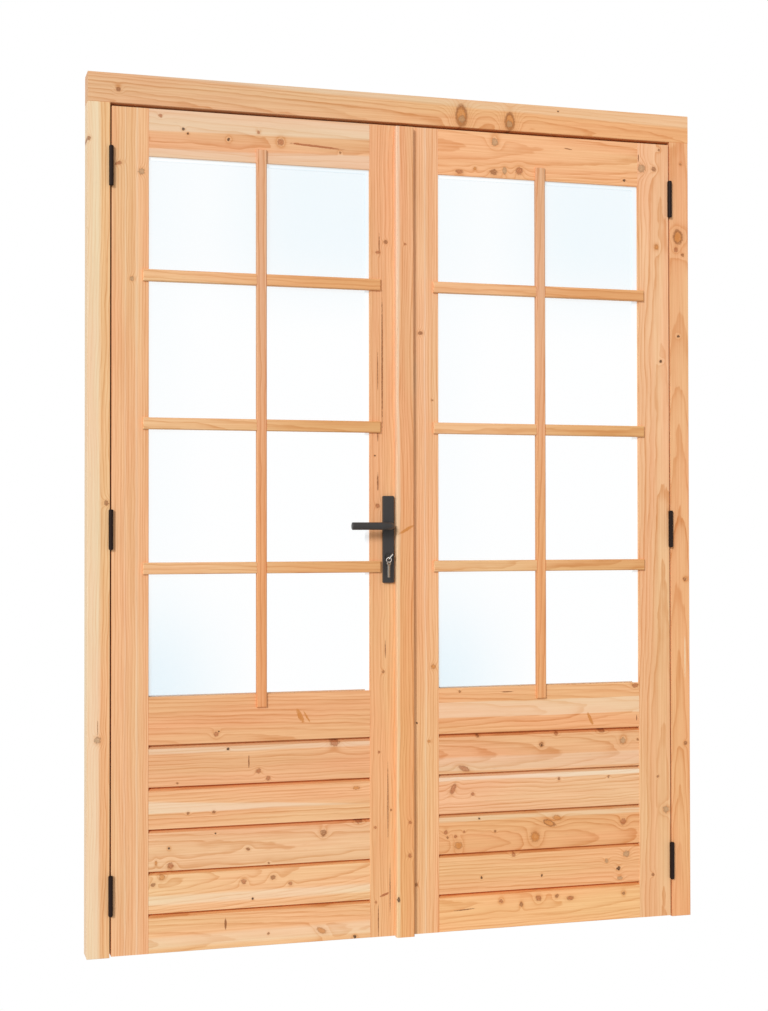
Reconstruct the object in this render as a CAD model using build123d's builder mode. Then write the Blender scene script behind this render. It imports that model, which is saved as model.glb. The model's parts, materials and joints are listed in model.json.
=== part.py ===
from build123d import *
import math
import os

os.makedirs("parts", exist_ok=True)

# A pair of glazed timber doors in their frame, shut. Lengths are in millimetres.
# X runs along the width, +Y from the front to the back and +Z up.
# The origin lies on the floor, under the middle of the doors and of the leaves' thickness.

# Frame
frame_width = 1500.0
frame_height = 2012.0
frame_depth = 60.0
jamb_face = 51.0
head_face = 68.0
stop_cover = 13.0
stop_depth = 17.0
seal_width = 7.0
seal_free_gap = 0.3
seal_edge = 1.2
seal_joint = 0.5

# Gaps round the leaves
side_gap = 3.5
meeting_gap = 3.0
top_gap = 8.0
floor_gap = 3.0

# Timber of a leaf
leaf_thickness = 40.0
stile_width = 84.5
top_rail_height = 110.0
mid_rail_height = 110.0
bottom_rail_height = 90.0
arris = 0.8
tenon_thickness = 12.0
tenon_length = 50.0
tenon_shoulder = 20.0
joint_clearance = 0.2

# Boards under the glass
board_count = 4
board_pitch = 96.0
board_thickness = 28.0
board_setback = 1.0
tongue_thickness = 8.0
tongue_height = 8.0
shadow_gap = 4.5
bevel_height = 9.0
bevel_depth = 6.0
end_tongue_thickness = 10.0
end_tongue_length = 12.0

# Glazing
lip_thickness = 6.0
rebate_width = 10.0
glass_thickness = 4.0
glass_edge_gap = 2.0
bead_bevel = 5.0
bar_proud = 7.0
bar_softening = 2.0
bar_glass_gap = 0.5
upright_bar_width = 24.0
cross_bar_height = 27.0
cross_bar_height_shares = (0.779, 0.505, 0.237)
rail_lap = 31.0
stile_lap = 14.0
lock_stile_lap = 26.0

# Cover strip
strip_thickness = 15.0
strip_lap_left = 22.5
strip_lap_right = 18.5
strip_relief = 1.0
strip_edge_radius = 3.0
strip_floor_gap = 1.0
strip_top_drop = 3.5

# Hinges
hinge_end_distance = 137.5
hinge_length = 89.0
hinge_plate_width = 34.0
hinge_plate_thickness = 2.5
knuckle_radius = 5.25
knuckle_count = 5
knuckle_gap = 0.3
knuckle_face_gap = 0.35
pin_radius = 2.5
pin_clearance = 0.05
pin_cap_radius = 4.2
pin_cap_height = 1.5

# Lock and handle
backset = 40.0
lever_height = 977.0
cylinder_drop = 72.0
case_depth = 58.0
case_thickness = 15.0
case_wall = 1.2
case_above_lever = 45.0
case_below_cylinder = 40.0
forend_thickness = 3.0
forend_width = 20.0
forend_overhang = 30.0
lock_clearance = 0.3
latch_width = 12.0
latch_height = 18.0
latch_rise = 27.0
latch_projection = 11.0
latch_length = 31.0
latch_bevel = 9.0
latch_tail_length = 26.0
latch_tail_width = 6.0
latch_tail_height = 8.0
dead_bolt_width = 12.0
dead_bolt_height = 24.0
dead_bolt_rise = 30.0
dead_bolt_length = 46.0
dead_bolt_sunk = 0.3
dead_bolt_chamfer = 1.0
hub_radius = 9.0
hub_arm_length = 22.0
hub_arm_width = 6.0
hub_arm_thickness = 8.0
spindle_side = 8.0
spindle_clearance = 0.05
spindle_overlap = 22.0
plate_width = 27.5
plate_height = 207.0
plate_above_lever = 72.0
plate_thickness = 8.0
plate_corner_radius = 3.0
plate_edge_radius = 1.5
collar_radius = 12.0
collar_height = 2.0
lever_radius = 9.0
lever_standoff = 45.0
lever_length = 100.0
lever_bend_radius = 24.0
lever_tip_radius = 1.5
lever_seat = 1.0
knob_radius = 21.0
knob_face_radius = 12.0
turning_clearance = 0.08

# Lock cylinder and keys
cylinder_radius = 8.5
cylinder_tail_width = 10.0
cylinder_height = 33.0
cylinder_proud = 2.5
plug_radius = 6.5
cam_radius = 14.5
cam_width = 9.0
cam_thickness = 6.0
cam_room = 0.7
key_angle = 40.0
key_thickness = 2.2
key_blade_width = 8.0
key_blade_length = 22.0
key_neck_length = 7.0
key_bow_width = 17.0
key_bow_length = 9.5
key_hole_width = 10.0
key_hole_height = 4.0
key_hole_rim = 1.8
key_cut_width = 4.0
key_cut_depth = 2.4
key_cut_depth_shares = (0.6, 1.0, 0.4, 0.8)
key_slot_clearance = 0.1
ring_radius = 5.9
ring_wire_radius = 0.8
hang_gap = 0.3
spare_key_angle = 45.0

# Strike plate and flush bolts on the right leaf
strike_thickness = 2.0
strike_margin = 22.0
strike_room = 0.8
strike_pocket_depth = 24.0
bolt_plate_width = 18.0
bolt_plate_height = 150.0
bolt_plate_thickness = 2.0
bolt_inset = 12.0
bolt_radius = 5.0
bolt_length = 120.0
bolt_sunk = 0.5
bolt_throw = 18.0
thumb_height = 22.0
thumb_width = 6.0
thumb_depth_below_end = 90.0
thumb_sunk = 0.3
keep_depth = 16.0

# Overrun of cuts that pass right through
overrun = 1.0

# Places worked out from the sizes above. Places named edge, mid or axis are measured from the
# middle of the doors outwards, and a side of -1 or 1 puts them on the left or the right.
left, right = -1, 1
leaf_front = -leaf_thickness / 2
leaf_back = leaf_thickness / 2
frame_back = leaf_front + frame_depth
stop_front = frame_back - stop_depth
jamb_edge = frame_width / 2 - jamb_face
stop_edge = jamb_edge - stop_cover
hinge_edge = jamb_edge - side_gap
meeting_edge = meeting_gap / 2
opening_outer_edge = hinge_edge - stile_width
opening_inner_edge = meeting_edge + stile_width
opening_width = opening_outer_edge - opening_inner_edge
opening_mid = (opening_outer_edge + opening_inner_edge) / 2
head_bottom = frame_height - head_face
head_stop_bottom = head_bottom - stop_cover
leaf_bottom = floor_gap
leaf_top = head_bottom - top_gap
bottom_rail_top = leaf_bottom + bottom_rail_height
mid_rail_bottom = bottom_rail_top + board_count * board_pitch
mid_rail_top = mid_rail_bottom + mid_rail_height
top_rail_bottom = leaf_top - top_rail_height
rails = ((leaf_bottom, bottom_rail_top), (mid_rail_bottom, mid_rail_top), (top_rail_bottom, leaf_top))

board_front = leaf_front + board_setback
board_mid = board_front + board_thickness / 2
tongue_front = board_mid - tongue_thickness / 2
tongue_back = board_mid + tongue_thickness / 2

glass_front = leaf_front + lip_thickness
glass_back = glass_front + glass_thickness
bar_front = leaf_front - bar_proud
bar_back = glass_front - bar_glass_gap
bar_halving = (bar_front + bar_back) / 2
daylight_height = top_rail_bottom - mid_rail_top
cross_bar_heights = [mid_rail_top + share * daylight_height for share in cross_bar_height_shares]

hinge_heights = (
    leaf_bottom + hinge_end_distance,
    (leaf_bottom + leaf_top) / 2,
    leaf_top - hinge_end_distance,
)
hinge_axis = jamb_edge - side_gap / 2
hinge_axis_depth = leaf_front - knuckle_face_gap - knuckle_radius
knuckle_pitch = hinge_length / knuckle_count

lock_x = -(meeting_edge + backset)
cylinder_z = lever_height - cylinder_drop
latch_z = lever_height + latch_rise
dead_bolt_z = cylinder_z + dead_bolt_rise
case_top = lever_height + case_above_lever
case_bottom = cylinder_z - case_below_cylinder
case_front_edge = meeting_edge + forend_thickness
case_rear_edge = case_front_edge + case_depth
plate_front = leaf_front - plate_thickness
plate_top = lever_height + plate_above_lever
cylinder_half_length = leaf_thickness / 2 + plate_thickness + cylinder_proud
cylinder_tail_drop = cylinder_height - cylinder_radius - cylinder_tail_width / 2
bolt_axis = meeting_edge + bolt_inset


def save(piece, name):
    """Labels a finished piece and writes it as its own file."""
    piece.label = name
    export_step(piece, f"parts/{name}.step")


def block(x_span, y_span, z_span, mode=Mode.ADD):
    """Adds or cuts a rectangular block between two values on each axis."""
    with BuildSketch(Plane.XY.offset(min(z_span))) as base:
        with Locations((sum(x_span) / 2, sum(y_span) / 2)):
            Rectangle(abs(x_span[1] - x_span[0]), abs(y_span[1] - y_span[0]))
    extrude(base.sketch, amount=abs(z_span[1] - z_span[0]), mode=mode)


def rod(x, y, z_span, radius, mode=Mode.ADD):
    """Adds or cuts a round upright rod."""
    with BuildSketch(Plane.XY.offset(min(z_span))) as base:
        with Locations((x, y)):
            Circle(radius)
    extrude(base.sketch, amount=abs(z_span[1] - z_span[0]), mode=mode)


def cross_bore(x, z, radius, y_span, mode=Mode.SUBTRACT):
    """Cuts or adds a round bore that runs from the front to the back."""
    with BuildSketch(Plane.XZ.offset(-min(y_span))) as base:
        with Locations((x, z)):
            Circle(radius)
    extrude(base.sketch, amount=-abs(y_span[1] - y_span[0]), mode=mode)


def around(middle, width):
    """The two ends of a span of the given width."""
    return (middle - width / 2, middle + width / 2)


def outward(side, *edges):
    """Places measured from the middle of the doors, put on one side."""
    return tuple(side * edge for edge in edges)


# Frame
def make_jamb(side):
    """Post with a stop behind the leaf, hinge leaves let into its rebate."""
    with BuildPart() as jamb:
        block(outward(side, jamb_edge, frame_width / 2), (leaf_front, frame_back), (0, head_bottom))
        chamfer(jamb.faces().sort_by(Axis.Y)[0].edges(), length=arris)
        block(outward(side, stop_edge, jamb_edge), (stop_front, frame_back), (0, head_stop_bottom))
        for hinge_z in hinge_heights:
            block(
                outward(side, jamb_edge, jamb_edge + hinge_plate_thickness),
                (leaf_front, leaf_front + hinge_plate_width),
                around(hinge_z, hinge_length),
                Mode.SUBTRACT,
            )
    return jamb.part


save(make_jamb(left), "left_jamb")
save(make_jamb(right), "right_jamb")

with BuildPart() as frame_head:
    block(around(0, frame_width), (leaf_front, frame_back), (head_bottom, frame_height))
    chamfer(frame_head.edges().filter_by(Axis.X).group_by(Axis.Y)[0], length=arris)
    block(around(0, jamb_edge * 2), (stop_front, frame_back), (head_stop_bottom, head_bottom))
    rod(bolt_axis, 0, (head_bottom, head_bottom + keep_depth), bolt_radius + lock_clearance, Mode.SUBTRACT)
save(frame_head.part, "frame_head")


def draw_seal(middle, along_x):
    """Section of a seal: a flat foot on the stop and a round crown towards the leaf."""
    crown = leaf_back + seal_free_gap
    shoulder = stop_front - seal_edge
    low, high = around(middle, seal_width)
    points = [(low, stop_front), (low, shoulder), (middle, crown), (high, shoulder), (high, stop_front)]
    if along_x:
        points = [(depth, across) for across, depth in points]
    with BuildLine() as outline:
        Line(points[0], points[1])
        ThreePointArc(points[1], points[2], points[3])
        Polyline(points[3], points[4], points[0])
    make_face(outline.edges())


with BuildPart() as frame_seals:
    for side in (left, right):
        with BuildSketch():
            draw_seal(side * (stop_edge + seal_width / 2), along_x=False)
        extrude(amount=head_stop_bottom - seal_joint)
    with BuildSketch(Plane.YZ):
        draw_seal(head_stop_bottom + seal_width / 2, along_x=True)
    extrude(amount=stop_edge, both=True)
save(frame_seals.part, "frame_seals")


# Hinges
def knuckle_span(hinge_z, place):
    """Height span of one knuckle, counted from the bottom, with its share of the gap."""
    low = hinge_z - hinge_length / 2 + place * knuckle_pitch
    return (low + knuckle_gap / 2, low + knuckle_pitch - knuckle_gap / 2)


def make_hinge_leaves(side, plate_edges, places):
    """Three hinge halves: a plate let into the wood, webs and the knuckles that it carries."""
    with BuildPart() as leaves:
        plate_span = outward(side, *plate_edges)
        for hinge_z in hinge_heights:
            z_span = around(hinge_z, hinge_length)
            block(plate_span, (leaf_front, leaf_front + hinge_plate_width), z_span)
            for place in places:
                block(plate_span, (hinge_axis_depth, leaf_front), knuckle_span(hinge_z, place))
                rod(side * hinge_axis, hinge_axis_depth, knuckle_span(hinge_z, place), knuckle_radius)
            rod(side * hinge_axis, hinge_axis_depth, z_span, pin_radius + pin_clearance, Mode.SUBTRACT)
    return leaves.part


def make_hinge_pins(side):
    """Three pins with a flat cap on each end, seated on the outer knuckles."""
    with BuildPart() as pins:
        for hinge_z in hinge_heights:
            low, high = knuckle_span(hinge_z, 0)[0], knuckle_span(hinge_z, knuckle_count - 1)[1]
            rod(side * hinge_axis, hinge_axis_depth, (low, high), pin_radius)
            rod(side * hinge_axis, hinge_axis_depth, (low - pin_cap_height, low), pin_cap_radius)
            rod(side * hinge_axis, hinge_axis_depth, (high, high + pin_cap_height), pin_cap_radius)
    return pins.part


jamb_plate_edges = (jamb_edge, jamb_edge + hinge_plate_thickness)
door_plate_edges = (hinge_edge - hinge_plate_thickness, hinge_edge)
for side, side_name in ((left, "left"), (right, "right")):
    jamb_leaves = make_hinge_leaves(side, jamb_plate_edges, range(0, knuckle_count, 2))
    door_leaves = make_hinge_leaves(side, door_plate_edges, range(1, knuckle_count, 2))
    save(jamb_leaves, f"{side_name}_hinge_jamb_leaves")
    save(door_leaves, f"{side_name}_hinge_door_leaves")
    save(make_hinge_pins(side), f"{side_name}_hinge_pins")


# Timber of the leaves
def make_stile(side, open_edge, into):
    """Stile with its glazing rebate, board groove and mortises. into is 1 at the hinges, else -1."""
    far_edge = open_edge + into * stile_width
    with BuildPart() as stile:
        block(outward(side, open_edge, far_edge), (leaf_front, leaf_back), (leaf_bottom, leaf_top))
        chamfer(stile.edges().filter_by(Axis.Z).group_by(Axis.Y)[0], length=arris)
        block(
            outward(side, open_edge, open_edge + into * rebate_width),
            (glass_front, leaf_back),
            (mid_rail_top - rebate_width, top_rail_bottom + rebate_width),
            Mode.SUBTRACT,
        )
        block(
            outward(side, open_edge, open_edge + into * (end_tongue_length + joint_clearance)),
            around(board_mid, end_tongue_thickness + joint_clearance),
            (bottom_rail_top, mid_rail_bottom),
            Mode.SUBTRACT,
        )
        for rail_low, rail_high in rails:
            block(
                outward(side, open_edge, open_edge + into * (tenon_length + joint_clearance)),
                around(0, tenon_thickness),
                (rail_low + tenon_shoulder, rail_high - tenon_shoulder),
                Mode.SUBTRACT,
            )
    return stile.part


def make_hinge_stile(side):
    """Stile with the hinge leaves let into its edge."""
    with BuildPart() as stile:
        add(make_stile(side, opening_outer_edge, 1))
        for hinge_z in hinge_heights:
            block(
                outward(side, *door_plate_edges),
                (leaf_front, leaf_front + hinge_plate_width),
                around(hinge_z, hinge_length),
                Mode.SUBTRACT,
            )
    return stile.part


def draw_plank(front, back, low, high, grooved, tongued):
    """Section of a board or rail. A tongued top has a bevel and a shadow gap in front of the tongue."""
    groove_front, groove_back = around(board_mid, tongue_thickness + joint_clearance)
    groove_top = low + tongue_height + joint_clearance
    points = [(front, low)]
    if grooved:
        points += [
            (groove_front, low),
            (groove_front, groove_top),
            (groove_back, groove_top),
            (groove_back, low),
        ]
    points += [(back, low), (back, high)]
    if tongued:
        points += [
            (tongue_back, high),
            (tongue_back, high + tongue_height),
            (tongue_front, high + tongue_height),
            (tongue_front, high - shadow_gap),
            (front + bevel_depth, high - shadow_gap),
            (front, high - bevel_height),
        ]
    else:
        points += [(front, high)]
    with BuildLine() as outline:
        Polyline(*points, close=True)
    make_face(outline.edges())


def make_rail(side, low, high, grooved=False, tongued=False, rebate_span=None):
    """Rail between the stiles with a stub tenon on each end and a rebate for the glass where it has one."""
    with BuildPart() as rail:
        with BuildSketch(Plane.YZ.offset(side * opening_mid)):
            draw_plank(leaf_front, leaf_back, low, high, grooved, tongued)
        extrude(amount=opening_width / 2, both=True)
        front_edges = rail.edges().filter_by(Axis.X).group_by(Axis.Y)[0]
        chamfer(front_edges.sort_by(Axis.Z)[0] if tongued else front_edges, length=arris)
        block(
            around(side * opening_mid, opening_width + tenon_length * 2),
            around(0, tenon_thickness),
            (low + tenon_shoulder, high - tenon_shoulder),
        )
        if rebate_span:
            block(
                around(side * opening_mid, opening_width),
                (glass_front, leaf_back),
                rebate_span,
                Mode.SUBTRACT,
            )
    return rail.part


def make_board(side, low):
    """Tongued board with stub tongues on its ends, housed in the stiles."""
    high = low + board_pitch
    with BuildPart() as board:
        with BuildSketch(Plane.YZ.offset(side * opening_mid)):
            draw_plank(board_front, board_front + board_thickness, low, high, grooved=True, tongued=True)
        extrude(amount=opening_width / 2, both=True)
        block(
            around(side * opening_mid, opening_width + end_tongue_length * 2),
            around(board_mid, end_tongue_thickness),
            (low + tongue_height + joint_clearance, high - bevel_height),
        )
    return board.part


# Glazing
def make_glass(side):
    """Single pane, seated against the lip of the rebate."""
    edge_cover = rebate_width - glass_edge_gap
    with BuildPart() as glass:
        block(
            around(side * opening_mid, opening_width + edge_cover * 2),
            (glass_front, glass_back),
            (mid_rail_top - edge_cover, top_rail_bottom + edge_cover),
        )
    return glass.part


def draw_bead(outer, inward):
    """Section of a glazing bead, square to the rebate with a bevel towards the room, as (across, depth)."""
    inner = outer + inward * rebate_width
    points = [
        (outer, glass_back),
        (inner, glass_back),
        (inner, leaf_back - bead_bevel),
        (inner - inward * bead_bevel, leaf_back),
        (outer, leaf_back),
    ]
    return points


def make_glazing_beads(side):
    """Four beads behind the glass: the upright ones run through and the level ones fit between them."""
    low, high = mid_rail_top - rebate_width, top_rail_bottom + rebate_width
    with BuildPart() as beads:
        for outer, inward in (
            (opening_inner_edge - rebate_width, 1),
            (opening_outer_edge + rebate_width, -1),
        ):
            with BuildSketch(Plane.XY.offset(low)):
                with BuildLine():
                    Polyline(*[(side * across, y) for across, y in draw_bead(outer, inward)], close=True)
                make_face()
            extrude(amount=high - low)
        for outer, inward in ((low, 1), (high, -1)):
            with BuildSketch(Plane.YZ.offset(side * opening_mid)):
                with BuildLine():
                    Polyline(*[(y, across) for across, y in draw_bead(outer, inward)], close=True)
                make_face()
            extrude(amount=opening_width / 2 - joint_clearance, both=True)
    return beads.part


def make_upright_bar(side):
    """Glazing bar from rail to rail, lapped over both, halved at the back over the cross bars."""
    with BuildPart() as bar:
        with BuildSketch(Plane.YZ.offset(side * opening_mid)):
            with BuildLine():
                Polyline(
                    (bar_front, mid_rail_top - rail_lap),
                    (bar_front, top_rail_bottom + rail_lap),
                    (leaf_front, top_rail_bottom + rail_lap),
                    (leaf_front, top_rail_bottom),
                    (bar_back, top_rail_bottom),
                    (bar_back, mid_rail_top),
                    (leaf_front, mid_rail_top),
                    (leaf_front, mid_rail_top - rail_lap),
                    close=True,
                )
            make_face()
        extrude(amount=upright_bar_width / 2, both=True)
        chamfer(bar.faces().sort_by(Axis.Y)[0].edges(), length=bar_softening)
        for bar_z in cross_bar_heights:
            block(
                around(side * opening_mid, upright_bar_width),
                (bar_halving, bar_back),
                around(bar_z, cross_bar_height),
                Mode.SUBTRACT,
            )
    return bar.part


def make_cross_bar(side, bar_z, inner_lap):
    """Glazing bar from stile to stile, lapped over both, halved at the front under the upright bar."""
    profile = [
        (opening_inner_edge - inner_lap, bar_front),
        (opening_outer_edge + stile_lap, bar_front),
        (opening_outer_edge + stile_lap, leaf_front),
        (opening_outer_edge, leaf_front),
        (opening_outer_edge, bar_back),
        (opening_inner_edge, bar_back),
        (opening_inner_edge, leaf_front),
        (opening_inner_edge - inner_lap, leaf_front),
    ]
    with BuildPart() as bar:
        with BuildSketch(Plane.XY.offset(bar_z)):
            with BuildLine():
                Polyline(*[(side * across, depth) for across, depth in profile], close=True)
            make_face()
        extrude(amount=cross_bar_height / 2, both=True)
        chamfer(bar.faces().sort_by(Axis.Y)[0].edges(), length=bar_softening)
        block(
            around(side * opening_mid, upright_bar_width),
            (bar_front, bar_halving),
            around(bar_z, cross_bar_height),
            Mode.SUBTRACT,
        )
    return bar.part


for side, side_name, inner_lap in ((left, "left", lock_stile_lap), (right, "right", stile_lap)):
    save(make_hinge_stile(side), f"{side_name}_hinge_stile")
    save(
        make_rail(
            side,
            top_rail_bottom,
            leaf_top,
            rebate_span=(top_rail_bottom, top_rail_bottom + rebate_width),
        ),
        f"{side_name}_top_rail",
    )
    save(
        make_rail(
            side,
            mid_rail_bottom,
            mid_rail_top,
            grooved=True,
            rebate_span=(mid_rail_top - rebate_width, mid_rail_top),
        ),
        f"{side_name}_mid_rail",
    )
    save(make_rail(side, leaf_bottom, bottom_rail_top, tongued=True), f"{side_name}_bottom_rail")
    for place in range(board_count):
        save(make_board(side, mid_rail_bottom - (place + 1) * board_pitch), f"{side_name}_board_{place + 1}")
    save(make_glass(side), f"{side_name}_glass")
    save(make_glazing_beads(side), f"{side_name}_glazing_beads")
    save(make_upright_bar(side), f"{side_name}_upright_bar")
    for place, bar_z in enumerate(cross_bar_heights):
        save(make_cross_bar(side, bar_z, inner_lap), f"{side_name}_cross_bar_{place + 1}")

# Strip over the meeting joint, fixed to the left leaf and eased off the right one
with BuildPart() as cover_strip:
    with BuildSketch(Plane.XY.offset(strip_floor_gap)):
        with BuildLine():
            Polyline(
                (-meeting_edge - strip_lap_left, leaf_front),
                (-meeting_edge - strip_lap_left, leaf_front - strip_thickness),
                (meeting_edge + strip_lap_right, leaf_front - strip_thickness),
                (meeting_edge + strip_lap_right, leaf_front - strip_relief),
                (-meeting_edge, leaf_front - strip_relief),
                (-meeting_edge, leaf_front),
                close=True,
            )
        make_face()
    extrude(amount=leaf_top - strip_top_drop - strip_floor_gap)
    fillet(cover_strip.edges().filter_by(Axis.Z).group_by(Axis.Y)[0], radius=strip_edge_radius)
save(cover_strip.part, "cover_strip")


# Lock
def draw_cylinder_profile(clearance):
    """Round barrel with a narrower tail hanging from it, the standard keyed cylinder's section."""
    with Locations((lock_x, cylinder_z)):
        Circle(cylinder_radius + clearance)
    with Locations((lock_x, cylinder_z - cylinder_tail_drop / 2)):
        Rectangle(cylinder_tail_width + clearance * 2, cylinder_tail_drop)
    with Locations((lock_x, cylinder_z - cylinder_tail_drop)):
        Circle(cylinder_tail_width / 2 + clearance)


latch_opening = (latch_z, latch_width, latch_height)
dead_bolt_opening = (dead_bolt_z, dead_bolt_width, dead_bolt_height)

with BuildPart() as lock_case:
    block(outward(left, case_front_edge, case_rear_edge), around(0, case_thickness), (case_bottom, case_top))
    block(
        outward(left, case_front_edge, case_rear_edge - case_wall),
        around(0, case_thickness - case_wall * 2),
        (case_bottom + case_wall, case_top - case_wall),
        Mode.SUBTRACT,
    )
    block(
        outward(left, meeting_edge, case_front_edge),
        around(0, forend_width),
        (case_bottom - forend_overhang, case_top + forend_overhang),
    )
    for bolt_z, bolt_width, bolt_height in (latch_opening, dead_bolt_opening):
        block(
            outward(left, meeting_edge, case_front_edge),
            around(0, bolt_width + lock_clearance * 2),
            around(bolt_z, bolt_height + lock_clearance * 2),
            Mode.SUBTRACT,
        )
    cross_bore(lock_x, lever_height, hub_radius + turning_clearance, around(0, case_thickness))
    with BuildSketch(Plane.XZ):
        draw_cylinder_profile(lock_clearance)
    extrude(amount=case_thickness / 2, both=True, mode=Mode.SUBTRACT)
save(lock_case.part, "lock_case")

with BuildPart() as latch_bolt:
    latch_tip = -meeting_edge + latch_projection
    latch_heel = latch_tip - latch_length
    with BuildSketch(Plane.XY.offset(latch_z)):
        with BuildLine():
            Polyline(
                (latch_heel, -latch_width / 2),
                (latch_tip, -latch_width / 2),
                (latch_tip - latch_bevel, latch_width / 2),
                (latch_heel, latch_width / 2),
                close=True,
            )
        make_face()
    extrude(amount=latch_height / 2, both=True)
    block(
        (latch_heel - latch_tail_length, latch_heel),
        around(0, latch_tail_width),
        around(latch_z, latch_tail_height),
    )
save(latch_bolt.part, "latch_bolt")

with BuildPart() as dead_bolt:
    dead_bolt_tip = -meeting_edge - dead_bolt_sunk
    block(
        (dead_bolt_tip - dead_bolt_length, dead_bolt_tip),
        around(0, dead_bolt_width),
        around(dead_bolt_z, dead_bolt_height),
    )
    chamfer(dead_bolt.faces().sort_by(Axis.X)[-1].edges(), length=dead_bolt_chamfer)
save(dead_bolt.part, "dead_bolt")

spindle_hole = spindle_side + spindle_clearance * 2
with BuildPart() as lock_follower:
    cross_bore(lock_x, lever_height, hub_radius, around(0, case_thickness), Mode.ADD)
    block(
        around(lock_x, hub_arm_width),
        around(0, hub_arm_thickness),
        (lever_height, lever_height + hub_arm_length),
    )
    block(
        around(lock_x, spindle_hole),
        around(0, case_thickness),
        around(lever_height, spindle_hole),
        Mode.SUBTRACT,
    )
save(lock_follower.part, "lock_follower")

# Handle
spindle_end = leaf_thickness / 2 + spindle_overlap
with BuildPart() as spindle:
    block(around(lock_x, spindle_side), around(0, spindle_end * 2), around(lever_height, spindle_side))
save(spindle.part, "spindle")

with BuildPart() as front_backplate:
    with BuildSketch(Plane.XZ.offset(-leaf_front)):
        with Locations((lock_x, plate_top - plate_height / 2)):
            RectangleRounded(plate_width, plate_height, plate_corner_radius)
    extrude(amount=plate_thickness)
    fillet(front_backplate.faces().sort_by(Axis.Y)[0].edges(), radius=plate_edge_radius)
    collar_span = (plate_front - collar_height, leaf_front)
    cross_bore(lock_x, lever_height, collar_radius, collar_span, Mode.ADD)
    cross_bore(lock_x, lever_height, lever_radius + turning_clearance, collar_span)
    with BuildSketch(Plane.XZ.offset(-leaf_front)):
        draw_cylinder_profile(lock_clearance)
    extrude(amount=plate_thickness + overrun, mode=Mode.SUBTRACT)
save(front_backplate.part, "front_backplate")
save(mirror(front_backplate.part, about=Plane.XZ), "rear_backplate")

with BuildPart() as front_lever:
    lever_line = leaf_front - lever_standoff
    with BuildLine() as lever_path:
        FilletPolyline(
            (lock_x, leaf_front - lever_seat, lever_height),
            (lock_x, lever_line, lever_height),
            (lock_x - lever_length, lever_line, lever_height),
            radius=lever_bend_radius,
        )
    with BuildSketch(Plane(origin=lever_path.line @ 0, z_dir=lever_path.line % 0)):
        Circle(lever_radius)
    sweep()
    fillet(front_lever.faces().sort_by(Axis.X)[0].edges(), radius=lever_tip_radius)
    block(
        around(lock_x, spindle_hole),
        (-spindle_end - spindle_clearance, leaf_front),
        around(lever_height, spindle_hole),
        Mode.SUBTRACT,
    )
save(front_lever.part, "front_lever")

# The knob on the back turns the same spindle and reaches as far as the lever
with BuildPart() as rear_knob:
    knob_foot = leaf_back + lever_seat
    knob_face = leaf_back + lever_standoff + lever_radius
    knob_centre = knob_face - math.sqrt(knob_radius**2 - knob_face_radius**2)
    knob_shoulder = knob_centre - math.sqrt(knob_radius**2 - lever_radius**2)
    with BuildSketch(Plane.XY.offset(lever_height)):
        with BuildLine():
            Polyline(
                (lock_x, knob_foot),
                (lock_x + lever_radius, knob_foot),
                (lock_x + lever_radius, knob_shoulder),
            )
            ThreePointArc(
                (lock_x + lever_radius, knob_shoulder),
                (lock_x + knob_radius, knob_centre),
                (lock_x + knob_face_radius, knob_face),
            )
            Polyline((lock_x + knob_face_radius, knob_face), (lock_x, knob_face), (lock_x, knob_foot))
        make_face()
    revolve(axis=Axis((lock_x, 0, lever_height), (0, 1, 0)))
    block(
        around(lock_x, spindle_hole),
        (leaf_back, spindle_end + spindle_clearance),
        around(lever_height, spindle_hole),
        Mode.SUBTRACT,
    )
save(rear_knob.part, "rear_knob")

# Lock cylinder, its turning plug and the keys
cam_gap = cam_width + cam_room * 2
key_slot_width = key_blade_width + key_slot_clearance * 2
key_slot_thickness = key_thickness + key_slot_clearance * 2
key_slot_length = key_blade_length + key_slot_clearance
with BuildPart() as lock_cylinder:
    with BuildSketch(Plane.XZ):
        draw_cylinder_profile(0)
    extrude(amount=cylinder_half_length, both=True)
    cross_bore(
        lock_x,
        cylinder_z,
        plug_radius + turning_clearance,
        (-cylinder_half_length, cam_gap / 2),
    )
    block(
        around(lock_x, cylinder_radius * 2),
        around(0, cam_gap),
        (cylinder_z - cam_radius - cam_room, cylinder_z + cylinder_radius),
        Mode.SUBTRACT,
    )
    with BuildSketch(Plane.XZ.offset(-cylinder_half_length)):
        with Locations((lock_x, cylinder_z)):
            Rectangle(key_slot_thickness, key_slot_width)
    extrude(amount=key_slot_length, mode=Mode.SUBTRACT)
save(lock_cylinder.part, "lock_cylinder")

turn = math.radians(key_angle)
key_plane = Plane(
    origin=(lock_x, -cylinder_half_length, cylinder_z),
    x_dir=(math.sin(turn), 0, math.cos(turn)),
    z_dir=(math.cos(turn), 0, -math.sin(turn)),
)

with BuildPart() as cylinder_plug:
    cross_bore(lock_x, cylinder_z, plug_radius, (-cylinder_half_length, cam_width / 2), Mode.ADD)
    block(
        around(lock_x, cam_thickness),
        around(0, cam_width),
        (cylinder_z - cam_radius, cylinder_z),
    )
    with BuildSketch(key_plane):
        with Locations((0, -key_slot_length / 2)):
            Rectangle(key_slot_width, key_slot_length)
    extrude(amount=key_slot_thickness / 2, both=True, mode=Mode.SUBTRACT)
save(cylinder_plug.part, "cylinder_plug")

key_bow_centre = key_neck_length + key_bow_length / 2
key_hole_centre = key_neck_length + key_bow_length - key_hole_rim - key_hole_height / 2
key_cut_pitch = key_blade_length / (len(key_cut_depth_shares) + 1)


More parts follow.
